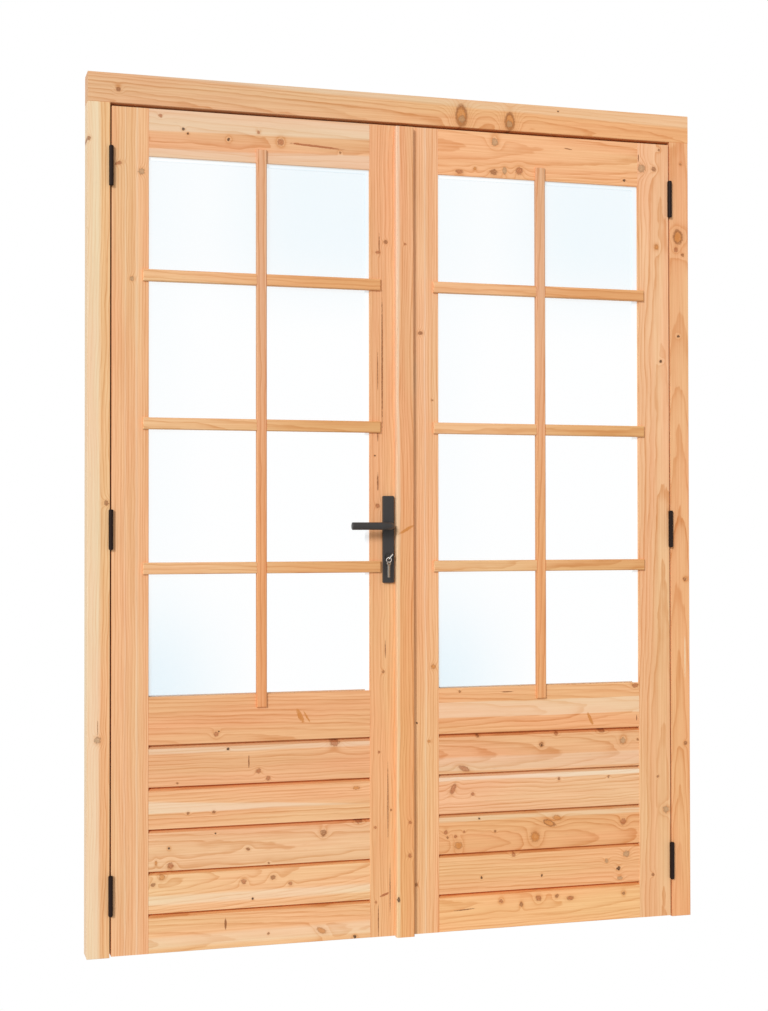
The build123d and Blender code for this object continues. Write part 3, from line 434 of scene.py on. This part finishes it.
# Looks of the pieces: rings are (pith across, pith depth, lean across, lean depth, ring width)
PIECE_LOOKS = {
    "frame_head": {
        "rings": (-30.0, 60.0, 0.004, 0.02, 5.0),
        "tint": (0.91, 0.94, 1.03),
        "end_tint": (0.97, 0.91, 0.83),
        "sap": [band(1997.0, 2030.0, 0.75, 3.0, -0.022)],
        "marks": [
            knot(-681, 1975, 5.5), knot(146, 1972, 26, "amber", 0.56),
            knot(147, 1964, 10, "grey", 0.9), knot(271, 1966, 22, "amber", 0.56),
            knot(270, 1960, 9, "grey"), knot(398, 2000, 2.5, "dark"),
        ],
    },
    "left_jamb": {
        "rings": (60.0, 40.0, 0.003, 0.01, 5.5),
        "tint": (1.0, 1.04, 1.06),
        "sap": [band(-790.0, -722.0, 0.95, 5.0)],
        "marks": [
            knot(-748, 1859, 5), knot(-726, 493, 7.5, "grey"), crack(-726, 520, 20, 0.8),
            knot(-707, 1030, 6),
        ],
    },
    "left_hinge_stile": {
        "rings": (-150.0, 30.0, 0.0, 0.0, 6.0),
        "tint": (1.0, 1.02, 1.08),
        "strength": 0.45,
        "sap": [band(-641.0, -636.0, 0.45, 2.5), band(-667.0, -663.0, 0.3, 2.5)],
        "marks": [
            knot(-628, 1790, 7, "grey"), knot(-681, 1806, 4, "red", 2.2, -20.0),
            knot(-650, 1543, 5, "grey"),
        ],
    },
    "left_top_rail": {
        "rings": (0.0, 30.0, 0.0, 0.02, 8.5),
        "tint": (0.96, 0.93, 0.98),
        "sap": [band(1892.0, 1960.0, 0.85, 3.0, 0.02), band(1790.0, 1852.0, 0.85, 3.0, 0.0, 0.03)],
        "marks": [
            knot(-532, 1894, 3.5, "dark"), knot(-521, 1884, 3, "dark"), knot(-426, 1877, 4, "dark"),
            knot(-302, 1878, 8, "red"), knot(-158, 1863, 3), knot(-355, 1898, 4, "red"),
            knot(-585, 1921, 4, "red"), knot(-614, 1868, 3), crack(-215, 1874, 3, 70, "red", 3.0),
        ],
    },
    "left_mid_rail": {
        "rings": (-60.0, 34.0, 0.0, 0.03, 8.0),
        "tint": (0.97, 0.90, 0.90),
        "marks": [
            crack(-256, 532, 19, 6, "amber", -25.0), crack(-240, 530, 16, 2.5, "amber", -30.0),
            knot(-455, 497, 6, "red"), knot(-449, 503, 2, "dark"),
        ],
    },
    "left_board_1": {
        "rings": (90.0, 30.0, 0.0, 0.01, 7.0),
        "tint": (0.97, 0.92, 0.96),
        "sap": [band(456.0, 490.0, 0.8, 3.0)],
        "marks": [
            knot(-173, 467, 9, "red", 1.3), knot(-427, 462, 3.5, "dark"), crack(-378, 430, 16, 1.8),
            knot(-355, 408, 6, "red"), knot(-332, 390, 5, "red"), knot(-545, 388, 2.5),
        ],
    },
    "left_board_2": {
        "rings": (-80.0, 40.0, 0.03, 0.02, 8.0),
        "tint": (1.0, 1.0, 1.04),
        "sap": [band(321.0, 334.0, 0.95, 3.0, 0.0, -0.055)],
        "marks": [knot(-520, 318, 3.5), knot(-460, 318, 4), knot(-120, 358, 4, "amber", 2.0)],
    },
    "left_board_3": {
        "rings": (-10.0, 45.0, 0.0, 0.02, 8.0),
        "tint": (1.0, 1.04, 1.16),
        "marks": [
            knot(-200, 255, 7.5), knot(-380, 228, 4, "brown", 1.4), knot(-456, 268, 2.5, "dark"),
            knot(-564, 240, 3, "dark"), knot(-594, 208, 5, "amber", 0.6), knot(-560, 200, 7, "red"),
            knot(-113, 282, 8, "red", 1.3), knot(-331, 193, 2.5),
        ],
    },
    "left_board_4": {
        "rings": (30.0, 24.0, 0.04, 0.06, 7.5),
        "tint": (1.03, 1.08, 1.13),
        "sap": [band(112.0, 132.0, 0.7, 4.0)],
        "marks": [
            knot(-600, 159, 5), knot(-390, 154, 6.5, "red"), knot(-321, 159, 6),
            knot(-279, 143, 5, "red"), knot(-369, 113, 3, "dark"), knot(-580, 175, 7, "amber"),
        ],
    },
    "left_bottom_rail": {
        "rings": (-30.0, 40.0, 0.0, 0.03, 7.5),
        "tint": (1.02, 1.06, 1.08),
        "sap": [band(14.0, 40.0, 0.6, 5.0, 0.0, 0.01)],
        "marks": [
            crack(-433, 59, 14, 3.0), knot(-332, 30, 3), knot(-124, 8, 4.5, "dark"),
            knot(-205, 28, 6, "amber", 2.0, 30.0),
        ],
    },
    "left_lock_stile": {
        "rings": (110.0, 40.0, 0.0, 0.0, 6.5),
        "tint": (0.98, 0.94, 0.91),
        "end_tint": (0.97, 0.95, 1.0),
        "strength": 0.45,
        "marks": [
            crack(-42, 323, 94, 1.6), knot(-34, 302, 2.5), knot(-73, 262, 3, "red"),
            crack(-62, 1646, 28, 1.4), crack(-55, 1366, 173, 2.1), crack(-66, 1345, 50, 1.3),
            knot(-46, 1655, 5), knot(-66, 1630, 4, "red", 1.6), crack(-66, 1190, 13, 1.5),
            knot(-73, 1145, 2.5, "dark"), crack(-66, 1082, 22, 2.2), knot(-67, 1025, 5, "red"),
            crack(-48, 683, 22, 1.6), knot(-53, 631, 4), crack(-66, 40, 40, 1.5),
            crack(-37, 112, 62, 1.4), crack(-50, 102, 3, 14, "red", -20.0), knot(-72, 85, 3, "red"),
            knot(-64, 440, 3, "red"),
        ],
    },
    "cover_strip": {
        "rings": (140.0, 50.0, 0.0, 0.0, 6.5),
        "tint": (0.97, 0.86, 0.73),
        "end_tint": (0.98, 0.92, 0.96),
        "sap": [band(-40.0, -16.0, 1.0, 2.0)],
        "marks": [
            knot(-20, 91, 6.5, "dark", 0.6), knot(9, 273, 4, "red"), knot(8, 194, 5, "red"),
            knot(-2, 1650, 3, "red"), crack(1, 969, 4, 22, "amber", -30.0),
            crack(20, 1335, 42, 1.1),
        ],
    },
    "right_meeting_stile": {
        "rings": (-130.0, 35.0, 0.0, 0.0, 6.0),
        "tint": (1.02, 1.02, 1.03),
        "end_tint": (1.02, 1.05, 1.17),
        "sap": [band(50.0, 55.0, 0.45, 2.5)],
        "marks": [
            knot(61, 461, 4, "amber"), knot(29, 120, 5, "brown", 0.7), knot(70, 1280, 2.5),
            knot(40, 1441, 5, "brown", 1.3), knot(72, 640, 6, "amber"), knot(30, 506, 3, "dark"),
        ],
    },
    "right_top_rail": {
        "rings": (20.0, 50.0, 0.0, 0.03, 8.0),
        "tint": (1.04, 1.03, 1.06),
        "marks": [
            knot(232, 1913, 9, "grey"), knot(229, 1840, 7, "brown", 1.5),
            knot(257, 1845, 9, "grey", 0.7), knot(295, 1847, 9, "red"),
            crack(424, 1909, 1.6, 12, "brown", 8.0), knot(575, 1840, 3.5, "dark"),
            knot(140, 1836, 5, "red", 2.0), knot(180, 1846, 4, "amber"),
        ],
    },
    "right_hinge_stile": {
        "rings": (25.0, 42.0, 0.006, 0.02, 6.5),
        "tint": (0.97, 0.98, 1.01),
        "end_tint": (1.02, 1.07, 1.21),
        "marks": [
            knot(622, 1873, 10, "grey"), knot(656, 1873, 6), crack(614, 1899, 10, 1.8),
            knot(670, 1922, 3.5), knot(673, 1390, 4, "dark"), knot(663, 1677, 7, "amber", 0.7),
            knot(683, 268, 8, "grey"), knot(661, 351, 3), knot(647, 107, 4),
        ],
    },
    "right_jamb": {
        "rings": (4.0, 34.0, 0.0, 0.045, 8.0),
        "tint": (0.98, 0.88, 0.82),
        "end_tint": (0.98, 0.94, 0.95),
        "marks": [
            knot(738, 431, 5), knot(737, 843, 5), knot(730, 1890, 3),
            knot(722, 1705, 18, "amber", 0.7), knot(716, 1672, 6, "red"),
            knot(722, 1455, 4, "dark"), crack(737, 651, 57, 2.0, "pale"), knot(735, 1660, 4),
        ],
    },
    "right_mid_rail": {
        "rings": (-5.0, 40.0, 0.0, 0.035, 8.0),
        "tint": (0.99, 0.94, 0.92),
        "sap": [band(515.0, 553.0, 0.9, 1.5)],
        "marks": [
            knot(600, 580, 6, "red", 1.3), crack(479, 501, 18, 4.5, "amber", -25.0),
            knot(139, 578, 3), crack(260, 574, 1.5, 17), crack(604, 499, 8, 1.5),
        ],
    },
    "right_board_1": {
        "rings": (-8.0, 38.0, 0.01, 0.06, 7.5),
        "tint": (0.96, 0.91, 0.93),
        "sap": [band(386.0, 419.0, 0.6, 3.0)],
        "marks": [
            knot(350, 442, 6), knot(350, 441, 2.5, "dark"), knot(185, 470, 4),
            knot(389, 468, 5, "red"), knot(510, 473, 7, "red", 1.3), knot(567, 443, 8, "grey"),
            knot(607, 445, 3), knot(150, 392, 6, "red", 2.5, 20.0),
        ],
    },
    "right_board_2": {
        "rings": (70.0, 30.0, 0.015, 0.01, 7.5),
        "tint": (1.01, 1.05, 1.17),
        "sap": [band(362.0, 390.0, 0.95, 2.5)],
        "marks": [
            crack(122, 344, 14, 6, "red", 25.0), knot(396, 357, 3.5), knot(528, 356, 3),
            knot(172, 330, 4, "red"),
        ],
    },
    "right_board_3": {
        "rings": (-30.0, 30.0, 0.0, 0.06, 7.5),
        "tint": (0.96, 0.87, 0.80),
        "strength": 0.6,
        "sap": [band(265.0, 292.0, 0.95, 2.5)],
        "marks": [
            knot(103, 241, 5, "red"), knot(128, 230, 4, "red"), knot(150, 240, 3, "red"),
            knot(333, 218, 12, "amber"), knot(567, 243, 8, "red"), knot(188, 270, 3, "dark"),
            knot(370, 250, 7, "amber", 2.4, 20.0), knot(135, 208, 9, "amber"), knot(229, 237, 3),
            knot(108, 228, 3), knot(390, 262, 6, "amber", 2.0, 15.0),
        ],
    },
    "right_board_4": {
        "rings": (-70.0, 30.0, 0.0, 0.01, 7.0),
        "tint": (1.01, 0.99, 0.97),
        "marks": [
            knot(194, 127, 4, "dark", 0.7), knot(350, 123, 4, "dark", 0.6),
            knot(554, 128, 5.5, "dark"), knot(575, 163, 8, "grey"), knot(522, 148, 5, "grey"),
            knot(558, 104, 5, "grey", 1.4), knot(277, 178, 5, "red"),
        ],
    },
    "right_bottom_rail": {
        "rings": (10.0, 30.0, 0.0, 0.03, 7.5),
        "tint": (1.05, 1.03, 0.95),
        "marks": [
            knot(244, 67, 5, "red"), knot(296, 56, 6, "brown", 0.7), knot(341, 68, 7, "red"),
            knot(389, 70, 5), knot(425, 63, 5, "red", 2.0), knot(567, 66, 4),
            crack(151, 53, 1.6, 28, "brown", -3.0),
        ],
    },
}
CROSS_BAR_LOOK = {"tint": (0.98, 1.03, 1.07), "end_tint": (0.88, 0.82, 0.69)}
UPRIGHT_BAR_LOOK = {"tint": (0.93, 0.79, 0.69), "end_tint": (0.90, 0.88, 1.01)}

# Looks drawn by chance for what the table leaves open: the ranges of the draw
LOOK_SEED = 7
PITH_ACROSS = (20.0, 120.0)
PITH_DEPTH = (30.0, 120.0)
LEAN_ACROSS = (-0.02, 0.02)
LEAN_DEPTH = (-0.03, 0.03)
RING_WIDTH = (5.5, 8.0)
TINT = (0.96, 1.02)


def figures():
    """The look of each timber piece: one drawn by chance, under what the tables say of the piece."""
    chance = np.random.default_rng(LOOK_SEED)
    table = {}
    for node in sorted(nodes):
        if slot_of[node] != "timber":
            continue
        side = chance.choice((-1.0, 1.0))
        rings = (
            side * chance.uniform(*PITH_ACROSS),
            chance.uniform(*PITH_DEPTH),
            chance.uniform(*LEAN_ACROSS),
            chance.uniform(*LEAN_DEPTH),
            chance.uniform(*RING_WIDTH),
        )
        drawn = {"rings": rings, "tint": tuple(chance.uniform(*TINT, 3))}
        if "cross_bar" in node:
            known = CROSS_BAR_LOOK
        elif "upright_bar" in node:
            known = UPRIGHT_BAR_LOOK
        else:
            known = PIECE_LOOKS.get(node, {})
        table[node] = drawn | known
    return table


# Paint and plating: the shares of fine and broad noise in the colour and the shine
PAINT_PALE = 1.25
PAINT_DEEP = 0.75
BROAD_GRAIN = 0.02
FINE_TINT = 0.5
BROAD_TINT = 0.4
FINE_SHINE = 0.15
BROAD_SHINE = 0.12
PAINT_RELIEF = 0.5


def speckled(name, colour, roughness, metallic=0.0, grain=0.9, depth=0.04 * MM, gloss=0.5):
    """Paint or plating with fine grain: noise over the surface moves the colour, shine and relief."""
    finish = Finish(name, Metallic=metallic, Specular_IOR_Level=gloss)
    _, parts = finish.place()
    fine = finish.scaled_noise(parts, (grain,) * 3, detail=3.0)
    broad = finish.scaled_noise(parts, (BROAD_GRAIN,) * 3)
    pale, deep = (tuple(part * share for part in colour) for share in (PAINT_PALE, PAINT_DEEP))
    tint = finish.blend(0.5 + fine * FINE_TINT + broad * BROAD_TINT, rgba(deep), rgba(pale))
    shine = roughness + fine * FINE_SHINE + broad * BROAD_SHINE
    finish.feed(finish.shader, Base_Color=tint, Roughness=shine)
    finish.bump(fine, depth, PAINT_RELIEF)
    return finish.material


# Panes: the rebate covers their edges. Strips of painted light, white and glowing, run beside it over the
# rebate's shaded sides
PANE_COVER = 8.0
PAINTED_LIGHT_SIDE = {"left_glass": 10.0, "right_glass": 14.0}
PAINTED_LIGHT_TOP = 9.0
PAINTED_LIGHT_FADE = 0.5
PANE_ROUGHNESS = 0.02
PANE_BLUE = (0.50, 0.82, 0.98)
PAINTED_GLOW = (0.52, 0.54, 0.55)
PAINTED_LIGHT_WHITE = (0.50, 0.50, 0.50)
PAINTED_LIGHT_BLUISH = (0.36, 0.42, 0.45)

# Blue in the panes: its reach as shares of their width and height, and how much it covers
TOP_RISE = (0.66, 0.88)
TOP_TO_RIGHT = (0.2, 0.7)
TOP_LEAST = 0.28
LEFT_REACH = 0.30
CORNER_HEIGHT = 0.26
CORNER_WIDTH = 0.55
HAZE_SCALE = 0.006
CLEAR_COVER = 0.006
TOP_COVER = 0.11
LEFT_COVER = 0.03
CORNER_COVER = 0.16
HAZE_COVER = 0.01
PAINTED_LIGHT_COVER = 0.96


def pane_glass(node):
    """Clear float glass.

    It takes a faint blue at the top right, along the left edge and in the lower left corner. Along its
    top and right edges, where it meets the timber, it has painted light: a nearly opaque white strip that
    glows, over the shaded rebate.
    """
    low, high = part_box(node)
    glass = Finish("pane_" + node, Roughness=PANE_ROUGHNESS, Emission_Strength=1.0)
    _, (x, y, z) = glass.place()
    share = (x - low.x / MM) / ((high.x - low.x) / MM)
    height = (z - low.z / MM) / ((high.z - low.z) / MM)
    top = height.step(*TOP_RISE) * (TOP_LEAST + (1.0 - TOP_LEAST) * share.step(*TOP_TO_RIGHT))
    left_edge = share.step(LEFT_REACH, 0.0)
    corner = height.step(CORNER_HEIGHT, 0.0) * share.step(CORNER_WIDTH, 0.0)
    haze = glass.scaled_noise((x, y, z), (HAZE_SCALE,) * 3)
    blue = CLEAR_COVER + top * TOP_COVER + left_edge * LEFT_COVER + corner * CORNER_COVER
    blue = blue + haze * HAZE_COVER
    side_start = high.x / MM - PANE_COVER - PAINTED_LIGHT_SIDE[node]
    top_start = high.z / MM - PANE_COVER - PAINTED_LIGHT_TOP
    painted_light = x.step(side_start, side_start + PAINTED_LIGHT_FADE)
    painted_light = painted_light.math("MAXIMUM", z.step(top_start, top_start + PAINTED_LIGHT_FADE))
    painted_light_colour = glass.blend(top, rgba(PAINTED_LIGHT_WHITE), rgba(PAINTED_LIGHT_BLUISH))
    colour = glass.blend(painted_light, rgba(PANE_BLUE), painted_light_colour)
    # Painted light: the strips glow, so they stay white where shade falls on them
    painted_glow = glass.scale(PAINTED_GLOW, painted_light)
    cover = blue + (PAINTED_LIGHT_COVER - blue) * painted_light
    glass.feed(glass.shader, Base_Color=colour, Emission_Color=painted_glow, Alpha=cover)
    return glass.material


def dress_nodes():
    """Gives every node of the part its finish, and returns the finishes of screws."""
    zinc = {"metallic": 1.0, "grain": 0.4, "depth": 0.02 * MM}
    plate = {"metallic": 1.0, "grain": 0.5, "depth": 0.01 * MM}
    rubber = {"grain": 0.6, "depth": 0.06 * MM}
    plain = {
        "black_steel": speckled("black_powder_coat", (0.038, 0.034, 0.032), 0.46, gloss=0.30),
        "lock_steel": speckled("zinc_plated_steel", (0.60, 0.60, 0.58), 0.34, **zinc),
        "nickel": speckled("nickel_plate", (0.74, 0.71, 0.66), 0.24, **plate),
        "seal": speckled("black_rubber", (0.025, 0.025, 0.026), 0.75, **rubber),
    }
    hinge_finish = speckled("dark_bronze_hinge", (0.016, 0.007, 0.005), 0.50, gloss=0.12)
    cylinder_finish = speckled("blackened_brass", (0.035, 0.032, 0.030), 0.35, metallic=0.6)
    spare_finish = speckled("dull_steel", (0.30, 0.28, 0.24), 0.40, **plate)
    table = figures()
    for seed, node in enumerate(sorted(nodes)):
        slot = slot_of[node]
        if slot == "timber":
            finish = timber(node, seed + 1, table[node])
        elif slot == "glass":
            finish = pane_glass(node)
        elif "hinge" in node:
            finish = hinge_finish
        elif "cylinder" in node:
            finish = cylinder_finish
        elif node == "spare_key":
            finish = spare_finish
        else:
            finish = plain[slot]
        nodes[node].data.materials.clear()
        nodes[node].data.materials.append(finish)
    return {"hinge": hinge_finish, "lock": plain["lock_steel"], "handle": plain["black_steel"]}


# Screw heads on the ironwork
HINGE_LENGTH = 89.0 * MM
HINGE_SCREW_SPREAD = 28.0 * MM
HINGE_SCREW_SPOTS = ((0.0, 0.62), (-1.0, 0.38), (1.0, 0.38))
HINGE_SCREW_RADIUS = 3.8 * MM
LOCK_SCREW_RADIUS = 3.4 * MM
PLATE_SCREW_RADIUS = 3.6 * MM
END_DISTANCE = 11.0 * MM
PLATE_THICKNESS = 8.0 * MM
BOLT_PLATE_HEIGHT = 150.0 * MM
SCREW_RISE_SHARE = 0.16
RECESS_DEPTH_SHARE = 0.30
RECESS_WIDTH_SHARE = 0.20
RECESS_REACH_SHARE = 0.62
HEAD_RINGS = 14
HEAD_SPOKES = 32
UP = (0.0, 0.0, 1.0)


def screw_heads(name, places, normal, radius, finish, body):
    """Low domed heads with a cross recess, one surface for a set of screws.

    Over a disc with shares across and up, the height is a rise that falls with the square of the distance
    from the middle, less the deeper of two bars whose depth falls evenly to their sides and ends. It
    never goes under the plate's face.
    """
    reach = np.linspace(0.0, 1.0, HEAD_RINGS)[:, None]
    angle = np.linspace(0.0, 2 * np.pi, HEAD_SPOKES, endpoint=False)[None, :]
    across, up = reach * np.cos(angle), reach * np.sin(angle)

    def bar(side, end):
        walls = np.clip(1.0 - np.abs(side) / RECESS_WIDTH_SHARE, 0.0, 1.0)
        ends = np.clip((RECESS_REACH_SHARE - np.abs(end)) / RECESS_WIDTH_SHARE, 0.0, 1.0)
        return np.minimum(walls, ends)

    recess = np.maximum(bar(across, up), bar(up, across))
    height = SCREW_RISE_SHARE * (1.0 - reach**2) - RECESS_DEPTH_SHARE * recess
    height = np.maximum(height, 0.0)
    normal = np.array(normal, float)
    side = np.cross(UP, normal)
    flat = across[..., None] * side + up[..., None] * np.array(UP)
    local = radius * (flat + height[..., None] * normal)
    points = (np.array(places)[:, None, None, :] + local[None]).reshape(-1, 3)
    row, column = np.meshgrid(np.arange(HEAD_RINGS - 1), np.arange(HEAD_SPOKES), indexing="ij")
    inner, outer = row * HEAD_SPOKES, (row + 1) * HEAD_SPOKES
    after = (column + 1) % HEAD_SPOKES
    corners = [inner + column, outer + column, outer + after, inner + after]
    quads = np.stack(corners, axis=-1).reshape(-1, 4)
    starts = np.arange(len(places)) * HEAD_RINGS * HEAD_SPOKES
    faces = (starts[:, None, None] + quads[None]).reshape(-1, 4)
    mesh = bpy.data.meshes.new(name)
    mesh.from_pydata(points, [], faces.tolist())
    mesh.materials.append(finish)
    heads = bpy.data.objects.new(name, mesh)
    bpy.context.scene.collection.objects.link(heads)
    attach(heads, body)


def hinge_screws(finish):
    """Three screws in each hinge plate, seen when a leaf is open."""
    for side_name, side in (("left", -1.0), ("right", 1.0)):
        for plate, body, facing in (("jamb", "frame", -1.0), ("door", side_name + "_leaf", 1.0)):
            low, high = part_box(f"{side_name}_hinge_{plate}_leaves")
            heights = (low.z + HINGE_LENGTH / 2, (low.z + high.z) / 2, high.z - HINGE_LENGTH / 2)
            holder = "jamb" if plate == "jamb" else "hinge_stile"
            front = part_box(f"{side_name}_{holder}")[0].y
            x = hinge_face(side_name, plate)
            places = [
                (x, front + (high.y - front) * depth_share, z + HINGE_SCREW_SPREAD * spread)
                for z in heights
                for spread, depth_share in HINGE_SCREW_SPOTS
            ]
            name = f"{side_name}_{plate}_hinge_screws"
            normal = (side * facing, 0.0, 0.0)
            screw_heads(name, places, normal, HINGE_SCREW_RADIUS, finish, body)


def hinge_face(side_name, plate):
    """The x of a hinge plate's open face: the stile's outer edge, or its mirror image beyond the pins."""
    low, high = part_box(f"{side_name}_hinge_stile")
    stile_edge = low.x if side_name == "left" else high.x
    if plate == "door":
        return stile_edge
    low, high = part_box(f"{side_name}_hinge_pins")
    return low.x + high.x - stile_edge


def end_heights(low, high):
    """The heights of the screws at the two ends of a plate's box."""
    return low.z + END_DISTANCE, high.z - END_DISTANCE


def lock_screws(finishes):
    """Screws of the lock's forend, the strike plate, the flush bolts and the rear handle plate."""
    lock, handle = finishes["lock"], finishes["handle"]
    to_left, to_right, to_back = (-1, 0, 0), (1, 0, 0), (0, 1, 0)
    low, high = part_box("lock_case")
    places = [(high.x, 0.0, z) for z in end_heights(low, high)]
    screw_heads("forend_screws", places, to_right, LOCK_SCREW_RADIUS, lock, "left_leaf")
    low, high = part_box("strike_plate")
    places = [(low.x, 0.0, z) for z in end_heights(low, high)]
    screw_heads("strike_screws", places, to_left, LOCK_SCREW_RADIUS, lock, "right_leaf")
    low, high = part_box("flush_bolt_plates")
    lowest, highest = end_heights(low, high)
    far = BOLT_PLATE_HEIGHT - END_DISTANCE
    places = [(low.x, 0.0, z) for z in (lowest, low.z + far, high.z - far, highest)]
    screw_heads("flush_bolt_screws", places, to_left, LOCK_SCREW_RADIUS, lock, "right_leaf")
    low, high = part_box("rear_backplate")
    face, middle = low.y + PLATE_THICKNESS, (low.x + high.x) / 2
    places = [(middle, face, z) for z in end_heights(low, high)]
    screw_heads("handle_screws", places, to_back, PLATE_SCREW_RADIUS, handle, "left_leaf")


# Camera, fitted to the picture's frame of 768 by 1011
CAMERA_PLACE = (-1.13130, -3.73311, 0.97147)
CAMERA_YAW = math.radians(16.2251)
CAMERA_PITCH = math.radians(0.8103)
CAMERA_ROLL = math.radians(-0.0727)
LENS_MM = 57.795
SENSOR_MM = 36.0


def set_camera():
    """Places the camera, which looks along +Y but for its yaw to the right, pitch up and roll."""
    camera = bpy.data.objects.new("camera", bpy.data.cameras.new("camera"))
    turned = Euler((math.pi / 2 + CAMERA_PITCH, 0.0, -CAMERA_YAW)).to_matrix()
    rolled = turned @ Matrix.Rotation(CAMERA_ROLL, 3, "Z")
    camera.matrix_world = Matrix.Translation(CAMERA_PLACE) @ rolled.to_4x4()
    camera.data.lens = LENS_MM
    camera.data.sensor_width = SENSOR_MM
    bpy.context.scene.collection.objects.link(camera)
    bpy.context.scene.camera = camera


# Light: white surroundings, a fill, and a sun tilted from straight down and turned about the upright
ROOM_WHITE = (1.0, 1.0, 1.0)
FILL_COLOUR = (1.0, 0.965, 0.92)
FILL_STRENGTH = 0.54
SUN_COLOUR = (0.97, 1.0, 1.06)
SUN_STRENGTH = 1.96
SUN_SOFTNESS = math.radians(14.0)
SUN_TILT = math.radians(69.0)
SUN_TURN = math.radians(-38.0)


def set_light():
    """Makes a room that camera, gloss and glass see white, a warm fill and a soft sun at the left."""
    world = bpy.data.worlds.new("white_room")
    bpy.context.scene.world = world
    world.use_nodes = True
    room = Shading(world.node_tree)
    seen = room.node("ShaderNodeLightPath", output="Is Camera Ray")
    for ray in ("Is Glossy Ray", "Is Transmission Ray"):
        seen = seen.math("MAXIMUM", room.node("ShaderNodeLightPath", output=ray))
    fill = tuple(part * FILL_STRENGTH for part in FILL_COLOUR)
    colour = room.blend(seen, rgba(fill), rgba(ROOM_WHITE))
    room.feed(world.node_tree.nodes["Background"], Color=colour)
    sun = bpy.data.objects.new("sun", bpy.data.lights.new("sun", "SUN"))
    sun.data.color = SUN_COLOUR
    sun.data.energy = SUN_STRENGTH
    sun.data.angle = SUN_SOFTNESS
    sun.rotation_euler = Euler((SUN_TILT, 0.0, SUN_TURN))
    bpy.context.scene.collection.objects.link(sun)


screw_finishes = dress_nodes()
hinge_screws(screw_finishes["hinge"])
lock_screws(screw_finishes)
set_camera()
set_light()
bpy.context.scene.view_settings.view_transform = "Standard"
